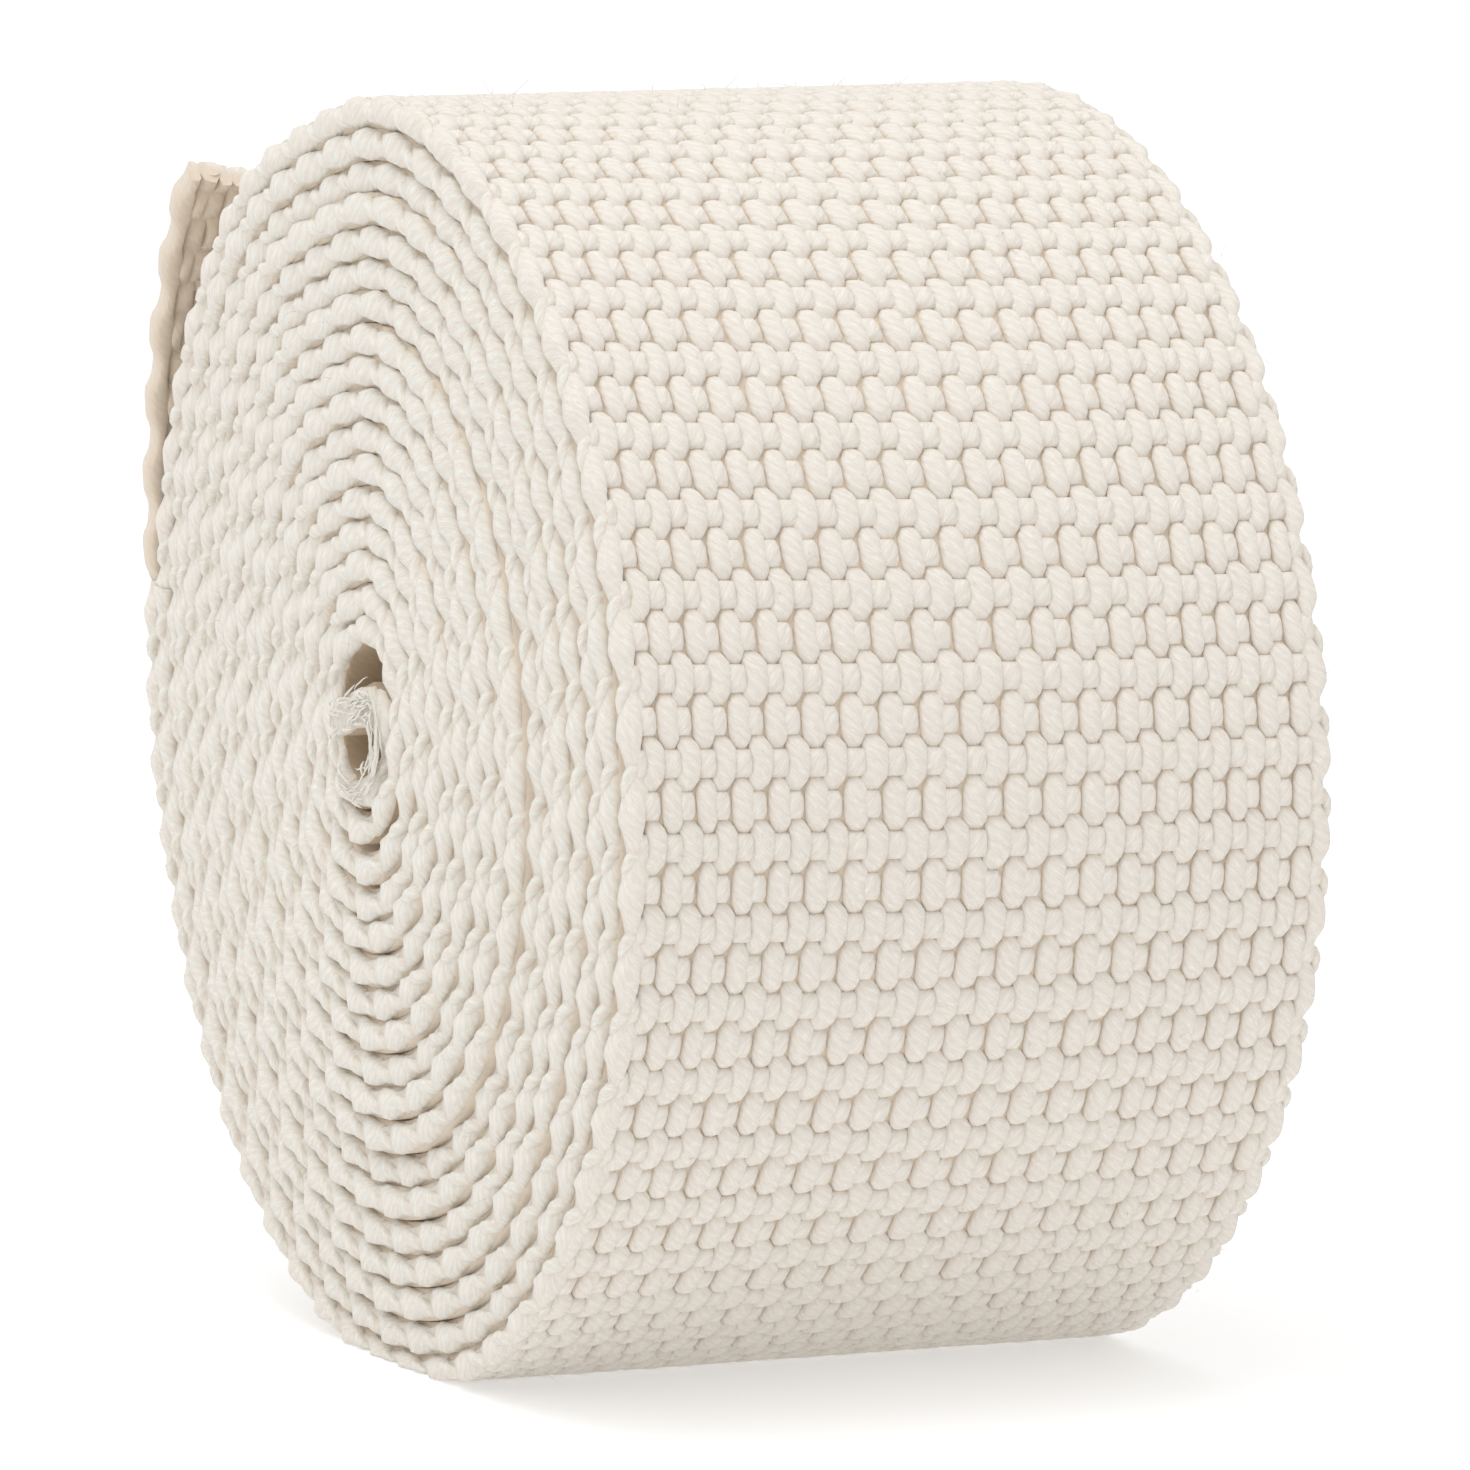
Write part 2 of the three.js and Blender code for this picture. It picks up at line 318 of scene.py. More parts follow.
class WoundLine:
    """The line that the middle of the webbing's thickness follows, from its cut end inwards.

    It is a spiral: t turns in from the step, the outer face is at outer_radius - pitch * t, with slow
    sine waves, and the loose end adds its lift as a smoothstep of the angle. The innermost turns are
    tucked in at their foot by a smoothstep of t and of the sine of the angle. The last stretch is a
    cubic curve that leaves the spiral and lies across the core. Lengths along the line are 0 at the
    step and grow inwards. fall is how far the near rim has sunk: a bell of the angle about dent_angle.
    """

    def __init__(self, sizes):
        self.sizes = sizes
        first = -(sizes.loose_angle + PAST_CUT - sizes.leaving_angle) / 360.0
        turn = np.arange(first, sizes.turns, 1.0 / STEPS_A_TURN)
        degrees = sizes.leaving_angle - 360.0 * turn
        angle = np.radians(degrees)
        reach = (degrees - sizes.lift_start) / (sizes.loose_angle - sizes.lift_start)
        radius = sizes.outer_radius - sizes.pitch * turn + sizes.lift * smoothstep(reach)
        radius -= sizes.thickness / 2
        radius += sum(size * np.sin(TAU * rate * turn + rate) for rate, size in RADIUS_WAVES)
        y = radius * np.cos(angle)
        z = radius * np.sin(angle) + sizes.core_rise * (1.0 - radius / sizes.outer_radius)
        z += sizes.core_tuck * smoothstep((turn - TUCK_START) / TUCK_TURNS) * smoothstep(-np.sin(angle))
        turns, slips = zip(*((row["turn"], row["slip"]) for row in SLIPPED_TURNS))
        slip = np.interp(turn, turns, slips)
        leaning = np.cos(np.radians(degrees - sizes.slip_angle))
        slip = slip * (sizes.slip_even + (1.0 - sizes.slip_even) * leaning)
        slip += sum(size * np.sin(TAU * rate * turn + 2 * rate) for rate, size in SLIP_WAVES)
        bell = np.exp((np.cos(angle - np.radians(sizes.dent_angle)) - 1.0) / DENT_SPREAD)
        fall = sizes.dent * bell * radius / sizes.outer_radius

        heading = np.array([y[-1] - y[-2], z[-1] - z[-2]])
        heading /= np.linalg.norm(heading)
        start = np.array([y[-1], z[-1]])
        stop = np.array([sizes.core_end_y, sizes.core_end_z])
        corners = np.stack([start, start + heading * BEND_START, stop - np.array([BEND_STOP, 0.0]), stop])
        share = np.linspace(0.0, 1.0, BEND_STEPS)[1:, None]
        weights = [(1 - share) ** 3, 3 * share * (1 - share) ** 2, 3 * share ** 2 * (1 - share), share ** 3]
        bend = sum(weight * corner for weight, corner in zip(weights, corners))
        self.y = np.concatenate([y, bend[:, 0]])
        self.z = np.concatenate([z, bend[:, 1]])
        self.slip = np.concatenate([slip, np.full(len(bend), slip[-1])])
        self.fall = np.concatenate([fall, np.zeros(len(bend))])

        along = np.concatenate([[0.0], np.cumsum(np.hypot(np.diff(self.y), np.diff(self.z)))])
        along -= np.interp(0.0, turn, along[: len(turn)])
        self.along = along
        self.out_y = -np.gradient(self.z, along)
        self.out_z = np.gradient(self.y, along)
        self.turn = turn
        self.end = along[-1]
        self.spiral_end = along[len(turn) - 1] - SWELL_BEFORE

    def at_turn(self, turn):
        """Length along the line at a turn."""
        return np.interp(turn, self.turn, self.along[: len(self.turn)])

    def at_degrees(self, degrees):
        """Length along the line at an angle of the loose end."""
        return self.at_turn((self.sizes.leaving_angle - degrees) / 360.0)

    def place(self, along, across, out):
        """Points at a length along the webbing, across it, and out from its middle, as x, y and z.

        x leans with the height, z sinks by the fall, in full at the near selvedge and not at the far
        one, and out grows by core_swell where the inner end leaves the spiral. The floor presses
        whatever would be lower: a height z becomes (z + sqrt(z^2 + 4 press^2)) / 2.
        """
        sizes = self.sizes
        out = out * (1.0 + sizes.core_swell * smoothstep((along - self.spiral_end) / SWELL_OVER))
        height = np.interp(along, self.along, self.z)
        x = across + np.interp(along, self.along, self.slip) - sizes.lean * height / sizes.outer_radius
        y = np.interp(along, self.along, self.y) + out * np.interp(along, self.along, self.out_y)
        z = height + out * np.interp(along, self.along, self.out_z)
        z = z - np.interp(along, self.along, self.fall) * (0.5 - across / sizes.width)
        z = z + sizes.axis_height
        z = (z + np.sqrt(z * z + 4.0 * sizes.press ** 2)) / 2.0
        return np.stack(np.broadcast_arrays(x, y, z), axis=-1)


class Beads:
    """Small differences from bead to bead of each warp yarn, the same for every stretch of it."""

    COUNT = 560
    BEFORE = 12
    WIDTH = 0.045
    HEIGHT = 0.022 * MM
    ACROSS = 0.035 * MM
    ALONG = 0.012

    def __init__(self, yarns):
        random = np.random.default_rng(SEED)
        self.width = random.normal(1.0, self.WIDTH, (yarns, self.COUNT))
        self.height = random.normal(0.0, self.HEIGHT, (yarns, self.COUNT))
        self.across = random.normal(0.0, self.ACROSS, (yarns, self.COUNT))
        self.along = random.normal(0.0, self.ALONG, (yarns, self.COUNT))

    def read(self, values, yarn, count):
        """Values at whole counts of beads, with a smoothstep between one bead and the next."""
        place = np.clip(count + self.BEFORE, 0.0, self.COUNT - 2.0)
        bead = place.astype(int)
        share = smoothstep(place - bead)
        return values[yarn, bead] * (1.0 - share) + values[yarn, bead + 1] * share


def pair_place(sizes, weave, pairs):
    """Where pairs lie across the webbing, and their pitch there as a share of the even one.

    They lie at an even pitch, less a sine that crowds them at both selvedges.
    """
    even = (sizes.width - weave.first_half - weave.nest - weave.second_half) / (weave.pairs - 1)
    turned = TAU * pairs / (weave.pairs - 1)
    place = even * (pairs - weave.crowding * (weave.pairs - 1) * np.sin(turned) / TAU)
    return place - sizes.width / 2 + weave.first_half, 1.0 - weave.crowding * np.cos(turned)


def yarn_middles(sizes, weave, yarns):
    """Where warp yarns lie across the webbing at their crowns: each pair's first, and nest on its second."""
    place, share = pair_place(sizes, weave, yarns // 2)
    return place + weave.nest * share * (yarns % 2)


def fall_behind(sizes, weave, across):
    """How far the picks lie before even repeats from the step: start, and a quarter sine up to skew."""
    share = np.clip(across / sizes.width + 0.5, 0.0, 1.0)
    return weave.start + weave.skew * np.sin(0.5 * np.pi * share)


def buried(sizes, across, out, cover=0.0):
    """How deep a point lies in the webbing, 0 at its faces and selvedges, 1 at half its thickness.

    cover is the depth of what lies on its faces already, such as the next turn. A selvedge counts as
    six tenths of its distance.
    """
    # This depth is the mask of the painted groove shade.
    from_face = sizes.thickness / 2 - np.abs(out) + cover
    from_edge = 0.6 * (sizes.width / 2 - np.abs(across))
    return np.clip(2.0 * np.minimum(from_face, from_edge) / sizes.thickness, 0.0, 1.0)


def yarn_uv(radius, around, shift, v):
    """A tube's uv: u is the angle round it times a radius, with a shift, and v is given."""
    closed = np.append(around, around[0] + TAU)
    return np.stack(np.broadcast_arrays(radius * closed[None, None, :] + shift, v), axis=-1)


def warp_tubes(line, weave, beads, yarns, counts, section, stay=0.0, cover=0.0, bulge=1.0):
    """Warp yarns as tubes: counts are lengths in repeats, a row for each yarn and a column for each ring.

    Yarn 2 i is the first one of pair i, with crowns at whole counts, and yarn 2 i + 1 is the second one,
    half a repeat on. A yarn's middle rises and falls as a squared-off cosine, tanh(2.2 (cos + stay)), its
    half width goes from end to crown by a smoothstep, and its section is a superellipse. The outermost
    yarns bulge out, and are fatter, by minus the sine. Returns points (yarns, rings, sides, 3), uv
    (yarns, rings, sides + 1, 2) and depth (yarns, rings, sides).
    """
    sizes = line.sizes
    yarns = np.asarray(yarns)[:, None]
    second = yarns % 2
    counts = counts + beads.read(beads.along, yarns, counts)
    middle = yarn_middles(sizes, weave, yarns)
    behind = fall_behind(sizes, weave, middle) / weave.repeat
    phase = TAU * (counts + behind - 0.5 * second)
    rise = np.tanh(SQUARENESS * (np.cos(phase) + stay))
    crown = 0.5 + 0.5 * np.cos(phase)
    full = smoothstep((crown - FULL_START) / FULL_OVER)
    half = np.where(second, weave.second_end + (weave.second_half - weave.second_end) * full,
                    weave.first_end + (weave.first_half - weave.first_end) * full)
    half = half * pair_place(sizes, weave, yarns // 2)[1] * beads.read(beads.width, yarns, counts)
    sideways = np.where(second, weave.lean * np.sin(phase) - weave.second_sway * (1.0 - crown),
                        weave.first_sway * (1.0 - crown))
    middle = middle + sideways + beads.read(beads.across, yarns, counts)
    outwards = np.where(yarns == 0, -1.0, 0.0) + np.where(yarns == 2 * weave.pairs - 1, 1.0, 0.0)
    swell = -bulge * np.sin(phase)
    middle = middle + outwards * weave.edge_bulge * swell
    edge_height = weave.edge_height * (1.0 + weave.edge_swell * swell)
    height = np.where(outwards == 0.0, weave.yarn_height, edge_height)
    lift = np.where(outwards == 0.0, sizes.thickness / 2 - height, weave.edge_rise)
    out = lift * rise + beads.read(beads.height, yarns, counts)

    angle = np.radians(np.asarray(section))
    side, top = superellipse(angle, WARP_POWER)
    across = middle[..., None] + half[..., None] * side
    out = out[..., None] + height[..., None] * top
    along = (counts * weave.repeat)[..., None]
    points = line.place(np.broadcast_to(along, across.shape), across, out)
    uv = yarn_uv(WARP_ROUND, angle, WARP_SHIFT * yarns[..., None], along)
    return points, uv, buried(sizes, across, out, cover)


def woven_counts(first, last, steps):
    """Ring places from first to last in repeats, at the same shares of every repeat, with both ends."""
    whole = np.arange(np.floor(first) - 1.0, np.ceil(last) + 2.0)
    inside = np.sort((whole[:, None] + np.asarray(steps)[None, :]).ravel())
    inside = inside[(inside > first + LEAST_STEP) & (inside < last - LEAST_STEP)]
    return np.concatenate([[first], inside, [last]])


def tube_mesh(name, groups):
    """One mesh of closed tubes. Each group is points (tubes, rings, sides, 3), uv, depth and selvedge share.

    A tube's rings are joined by quads, and a fan about a middle point closes each end.
    """
    coordinates, depths, selvedges, loops, totals, uvs, smooth = [], [], [], [], [], [], []
    start = 0
    for points, uv, depth, selvedge in groups:
        tubes, rings, sides = points.shape[:3]
        ends = points[:, [0, -1]].mean(axis=2)
        around = np.arange(sides)
        after = (around + 1) % sides
        ring = np.arange(rings - 1)[:, None] * sides
        a = ring + around
        b = ring + after
        quads = np.stack([a, b, b + sides, a + sides], axis=-1).reshape(-1, 4)
        uv_quads = np.stack([uv[:, :-1, :-1], uv[:, :-1, 1:], uv[:, 1:, 1:], uv[:, 1:, :-1]], axis=3)
        count = rings * sides
        first_fan = np.stack([np.full(sides, count), after, around], axis=-1)
        foot = count - sides
        last_fan = np.stack([np.full(sides, count + 1), foot + around, foot + after], axis=-1)
        fans = np.concatenate([first_fan, last_fan])
        fan_uv = np.stack([
            np.concatenate([uv[:, 0, :-1], uv[:, -1, :-1]], axis=1),
            np.concatenate([uv[:, 0, 1:], uv[:, -1, :-1]], axis=1),
            np.concatenate([uv[:, 0, :-1], uv[:, -1, 1:]], axis=1),
        ], axis=2)
        each = count + 2
        offsets = start + each * np.arange(tubes)[:, None, None]
        coordinates.append(np.concatenate([points.reshape(tubes, -1, 3), ends], axis=1).reshape(-1, 3))
        end_depth = depth[:, [0, -1]].mean(axis=2)
        depths.append(np.concatenate([depth.reshape(tubes, -1), end_depth], axis=1).ravel())
        selvedges.append(np.full(tubes * each, selvedge))
        loops += [(quads[None] + offsets).ravel(), (fans[None] + offsets).ravel()]
        totals += [np.full(tubes * len(quads), 4), np.full(tubes * len(fans), 3)]
        smooth += [np.ones(tubes * len(quads), bool), np.zeros(tubes * len(fans), bool)]
        uvs += [uv_quads.reshape(-1, 2), fan_uv.reshape(-1, 2)]
        start += tubes * each
    return filled_mesh(name, coordinates, loops, totals, smooth, uvs, depths, selvedges)


def filled_mesh(name, coordinates, loops, totals, smooth, uvs, depths, selvedges):
    """A mesh from lists of arrays, with its uv map and the depth and selvedge attributes."""
    coordinates = np.concatenate(coordinates)
    loops = np.concatenate(loops)
    totals = np.concatenate(totals)
    mesh = bpy.data.meshes.new(name)
    mesh.vertices.add(len(coordinates))
    mesh.vertices.foreach_set("co", coordinates.astype(np.float32).ravel())
    mesh.loops.add(len(loops))
    mesh.loops.foreach_set("vertex_index", loops.astype(np.int32))
    mesh.polygons.add(len(totals))
    starts = np.concatenate([[0], np.cumsum(totals)[:-1]])
    mesh.polygons.foreach_set("loop_start", starts.astype(np.int32))
    mesh.polygons.foreach_set("use_smooth", np.concatenate(smooth))
    layer = mesh.uv_layers.new(name="yarn")
    layer.data.foreach_set("uv", (np.concatenate(uvs) / MM).astype(np.float32).ravel())
    # depth masks the painted shade, and selvedge masks the end faces' painted whitening.
    for attribute, values in (("depth", depths), ("selvedge", selvedges)):
        stored = mesh.attributes.new(attribute, "FLOAT", "POINT")
        stored.data.foreach_set("value", np.concatenate(values).astype(np.float32))
    mesh.update(calc_edges=True)
    if mesh.validate():
        raise RuntimeError(f"the mesh {name} isn't sound")
    return mesh


def piece(mesh, context, *replaced):
    """Puts a finished mesh in the scene as a cotton piece of the roll."""
    thing = bpy.data.objects.new(mesh.name, mesh)
    context.scene.collection.objects.link(thing)
    mesh.materials.append(cotton_material(context))
    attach(thing, BODY)
    if replaced:
        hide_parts(*replaced)
    return thing


def woven(context):
    """The wound line, the weave's sizes and the differences from bead to bead."""
    weave = context.scene.weave_sizes
    return WoundLine(context.scene.roll_sizes), weave, Beads(2 * weave.pairs)


def pick_knots(sizes, weave):
    """Places across the webbing where a weft yarn's height is set, and its heights at even and odd picks."""
    first_yarn, share = pair_place(sizes, weave, np.arange(weave.pairs))
    across = (first_yarn[:, None] + share[:, None] * np.array([row["across"] for row in PICK_WAVE])).ravel()
    edge = sizes.width / 2 - WEFT_EDGE
    across = np.concatenate([[-edge], across[1:-1], [edge]])
    heights = {"high": weave.pick_rise, "low": -weave.pick_fall, "dropped": -weave.pick_drop}
    even, odd = (np.tile([heights[row[kind]] for row in PICK_WAVE], weave.pairs) for kind in ("even", "odd"))
    return across, even, odd


def weft_picks(line, weave, first, last):
    """Weft yarns between two lengths, one every half repeat, over and under the warp yarns in turn.

    Each is a tube with a superellipse section. Its middle is low under the yarns that crown there and
    high over the ones that dip: second yarns at even picks, first ones at odd picks. At even picks it
    also drops into the gap between one pair and the next.
    """
    sizes = line.sizes
    lowest = np.ceil(2.0 * (first + weave.start) / weave.repeat)
    highest = np.floor(2.0 * (last + weave.start) / weave.repeat)
    picks = np.arange(lowest, highest + 1.0)
    across, even, odd = pick_knots(sizes, weave)
    wave = np.where((picks % 2 == 0)[:, None], even[None, :], odd[None, :])
    angle = np.radians(np.array(WEFT_SECTION))
    side, top = superellipse(angle, WEFT_POWER)
    middle = picks[:, None] * weave.repeat / 2 - fall_behind(sizes, weave, across)[None, :]
    along = middle[..., None] - weave.pick_length * side
    out = wave[..., None] + weave.pick_height * top
    across = across[None, :, None] + 0 * along
    points = line.place(along, across, out)
    number_of = picks[:, None, None]
    uv = yarn_uv(WEFT_ROUND, angle, WEFT_SHIFT * number_of, across[..., :1] + LOOP_SHIFT * number_of)
    return points, uv, buried(sizes, across, out), 0.0


def selvedge_loops(line, weave, side, first, last):
    """The weft's loops round a selvedge's outermost warp yarn, one each repeat, where that yarn falls.

    A loop's middle runs from a pick low in the webbing round the edge and on to the next pick high in
    it: across goes as a half ellipse, and along and out go as sines of the same angle.
    """
    sizes = line.sizes
    phase = 0.25 if side < 0 else 0.75
    lowest = np.ceil((first + weave.start) / weave.repeat)
    highest = np.floor((last + weave.start) / weave.repeat)
    loops = np.arange(lowest, highest) + phase
    middle = loops * weave.repeat - fall_behind(sizes, weave, side * sizes.width / 2)
    turned = np.radians(np.linspace(-LOOP_TURN, LOOP_TURN, LOOP_RINGS))
    along = -np.sin(turned) * weave.repeat / 4
    high = -LOOP_RISE * np.sin(turned)
    reach = sizes.width / 2 + weave.loop_stand - weave.loop_radius
    across = side * (reach - LOOP_REACH * (1.0 - np.cos(turned)))
    spine = np.stack([along, across, high], axis=-1)[None]
    around = np.radians(even_degrees(LOOP_SIDES))
    shape = spine[:, :, None] + weave.loop_radius * rings_about(spine, np.array([0.0, 0.0, 1.0]), -around)
    along = middle[:, None, None] + shape[..., 0]
    across = 0 * along + shape[..., 1]
    out = 0 * along + shape[..., 2]
    points = line.place(along, across, out)
    uv = yarn_uv(LOOP_ROUND, around, LOOP_SHIFT * loops[:, None, None], MM * turned[None, :, None])
    # The last 1.0 gives the loops the end faces' painted whitening; their depth, with the next turn as cover,
    # masks the painted groove shade.
    return points, uv, buried(sizes, across, out, sizes.thickness / 2), 1.0


def rings_about(spines, aside, around):
    """Unit rings about spines (threads, rings, 3), at angles around them.

    A ring's angle 0 is square to its spine's heading and to aside, and 90 degrees is square to the
    heading and to angle 0.
    """
    heading = np.gradient(spines, axis=1)
    heading /= np.linalg.norm(heading, axis=2, keepdims=True)
    beside = np.cross(heading, aside)
    beside /= np.linalg.norm(beside, axis=2, keepdims=True)
    above = np.cross(heading, beside)
    return beside[:, :, None] * np.cos(around)[:, None] + above[:, :, None] * np.sin(around)[:, None]


def ground_mesh(name, line, weave, last):
    """The hidden ground of the webbing, one closed band drawn in from both selvedges.

    Its lower face lies on the next turn. Its upper face is low in the outer turn, between the yarns,
    and under the turn outside it in the others. Its depth goes from 1 to 2 in the core, where it shows,
    to paint the core dark with painted shade.
    """
    sizes = line.sizes
    rings = int(last / GROUND_STEP)
    along = np.linspace(GROUND_START, last, rings)[None, :, None]
    edge = sizes.width / 2 - WEFT_EDGE
    filled = smoothstep((along - line.at_turn(1.0)) / GROUND_FILLS)
    full = sizes.thickness / 2 + GROUND_OVERLAP
    top = weave.bed + (full - weave.bed) * filled
    lip = edge - GROUND_LIP
    across = np.array([edge, lip, -lip, -edge, -lip, lip]) + 0 * along
    upper = np.array([0.5, 1.0, 1.0, 0.5, 0.0, 0.0])
    out = upper * top - (1.0 - upper) * full
    points = line.place(along + 0 * across, across, out)
    u = np.concatenate([across, across[..., :1]], axis=2)
    uv = np.stack(np.broadcast_arrays(u, along), axis=-1)
    # From 1 to 2 over the innermost turns: the mask of the core's painted shade.
    depth = 1.0 + smoothstep((along - line.at_turn(sizes.turns - CORE_TURNS)) / CORE_FADE) + 0 * across
    return tube_mesh(name, [(points, uv, depth, 0.0)])


def cut_along(line, across):
    """Length along the webbing of the slanting, bowed cut that ends it, for places across it."""
    sizes = line.sizes
    share = across / sizes.width + 0.5
    return line.at_degrees(sizes.loose_angle - sizes.cut_slant * (1.0 - (1.0 - share) ** 2))


class WEBBING_OT_outer_turn(bpy.types.Operator):
    """Weaves the outer turn from its warp yarns, in three groups across the width, and its weft"""

    bl_idname = "webbing.outer_turn"
    bl_label = "Weave Outer Turn"

    def execute(self, context):
        line, weave, beads = woven(context)
        last = line.at_turn(1.0)
        splits = (0, *WARP_SPLITS, 2 * weave.pairs)
        for name, start, stop in zip(("near", "middle", "far"), splits, splits[1:]):
            parts = []
            for second in (0, 1):
                chosen = [yarn for yarn in range(start, stop) if yarn % 2 == second]
                steps = np.asarray(WARP_STEPS) + 0.5 * second
                counts = np.tile(woven_counts(0.0, last / weave.repeat, steps), (len(chosen), 1))
                tubes = warp_tubes(line, weave, beads, chosen, counts, WARP_SECTION, weave.yarn_stay)
                parts.append((*tubes, 0.0))
            replaced = ("roll",) if name == "near" else ()
            piece(tube_mesh(f"outer_turn_warp_{name}", parts), context, *replaced)
        piece(tube_mesh("outer_turn_weft", [weft_picks(line, weave, 0.0, last)]), context)
        return {"FINISHED"}


class WEBBING_OT_inner_turns(bpy.types.Operator):
    """Winds the inner turns: the two outermost warp yarns at each selvedge, the weft's loops, the body"""

    bl_idname = "webbing.inner_turns"
    bl_label = "Wind Inner Turns"

    def execute(self, context):
        line, weave, beads = woven(context)
        first, last = line.at_turn(1.0) / weave.repeat, line.end / weave.repeat
        cover = line.sizes.thickness / 2
        edge = 2 * weave.pairs - 1
        for name, side, yarns in (("near", -1, (0, 1)), ("far", 1, (edge, edge - 1))):
            parts = [selvedge_loops(line, weave, side, 0.0, line.end)]
            for yarn, rings, sides in zip(yarns, EDGE_RINGS, EDGE_SIDES):
                counts = woven_counts(first, last, np.arange(rings) / rings)[None, :]
                tubes = warp_tubes(line, weave, beads, [yarn], counts, even_degrees(sides), cover=cover)
                # Selvedge share 1: these yarns get the end faces' painted whitening.
                parts.append((*tubes, 1.0))
            piece(tube_mesh(f"inner_turns_{name}_selvedge", parts), context)
        piece(ground_mesh("inner_turns_body", line, weave, line.end), context)
        return {"FINISHED"}


class WEBBING_OT_loose_end(bpy.types.Operator):
    """Weaves the loose end that stands off the roll: its weft as a thin sheet, with the warp on it"""

    bl_idname = "webbing.loose_end"
    bl_label = "Weave Loose End"

    def execute(self, context):
        line, weave, beads = woven(context)
        sizes = line.sizes
        inner_face_shade = context.scene.cotton_look.inner_face_shade
        yarns = np.arange(2 * weave.pairs)
        cut = cut_along(line, yarn_middles(sizes, weave, yarns)) / weave.repeat
        counts = cut[:, None] * np.linspace(1.0, 0.0, LOOSE_RINGS)[None, :]
        section = even_degrees(LOOSE_SIDES)
        points, uv, depth = warp_tubes(line, weave, beads, yarns, counts, section, weave.yarn_stay,
                                       bulge=LOOSE_BULGE)
        # Painted shade: the lower half of each yarn, the inner face, takes the groove colour, and so does the
        # near edge yarns' inner side.
        depth = np.maximum(depth, inner_face_shade * (section > 180.0))
        depth[:2] = np.maximum(depth[:2], LOOSE_EDGE_SHADE * inner_face_shade * (section > 100.0))
        warp = piece(tube_mesh("loose_end_warp", [(points, uv, depth, 0.0)]), context)

        across, even, odd = pick_knots(sizes, weave)
        ends = cut_along(line, across)
        along = ends[None, :] * np.linspace(1.0, 0.0, LOOSE_WEFT_RINGS)[:, None]
        pick = np.cos(TAU * ((along + fall_behind(sizes, weave, across)) / weave.repeat))
        wave = (even + odd) / 2 + (even - odd) / 2 * pick
        rounded = np.sqrt(np.clip(1.0 - (np.abs(across) / across[-1]) ** 24, 0.0, 1.0))
        thick = LOOSE_THIN + (weave.pick_height - LOOSE_THIN) * np.sqrt(np.abs(pick))
        thick = thick * (LOOSE_LIP + (1.0 - LOOSE_LIP) * rounded)
        along = np.concatenate([along, along[:, ::-1]], axis=1)
        out = np.concatenate([wave + thick, (wave - thick)[:, ::-1]], axis=1)
        inner = np.arange(2 * len(across)) >= len(across)
        across = 0 * along + np.concatenate([across, across[::-1]])
        u = np.concatenate([along, along[:, :1]], axis=1)
        v = np.concatenate([across, across[:, :1]], axis=1)
        # Painted shade on the lower face of the weft sheet, the loose end's inner face.
        depth = np.maximum(buried(sizes, across, out), inner_face_shade * inner)
        points = line.place(along, across, out)
        weft = strip_mesh("loose_end_weft", points, np.stack([u, v], axis=-1), depth)
        sheet = piece(weft, context, "loose_end")
        return {"FINISHED"}


def strip_mesh(name, points, uv, depth):
    """A closed thin sheet: rings across it, whose second half is the lower face run back.

    Quads join the rings, and at each end strips of quads join the upper face to the lower one.
    """
    rings, sides = points.shape[:2]
    side = np.arange(sides)
    ring = np.arange(rings - 1)[:, None] * sides
    a = ring + side
    b = ring + (side + 1) % sides
    quads = np.stack([a, a + sides, b + sides, b], axis=-1).reshape(-1, 4)
    uv_quads = np.stack([uv[:-1, :-1], uv[1:, :-1], uv[1:, 1:], uv[:-1, 1:]], axis=2).reshape(-1, 2)
    left = np.arange(sides // 2 - 1)
    right = sides - 1 - left
    first = np.stack([left, left + 1, right - 1, right], axis=-1)
    last = np.stack([left, right, right - 1, left + 1], axis=-1) + (rings - 1) * sides
    caps = np.concatenate([first, last])
    cap_uv = uv[:, :-1].reshape(-1, 2)[caps.ravel()]
    return filled_mesh(
        name, [points.reshape(-1, 3)], [quads.ravel(), caps.ravel()],
        [np.full(len(quads), 4), np.full(len(caps), 4)],
        [np.ones(len(quads), bool), np.zeros(len(caps), bool)],
        [uv_quads, cap_uv], [depth.ravel()], [np.zeros(rings * sides)],
    )


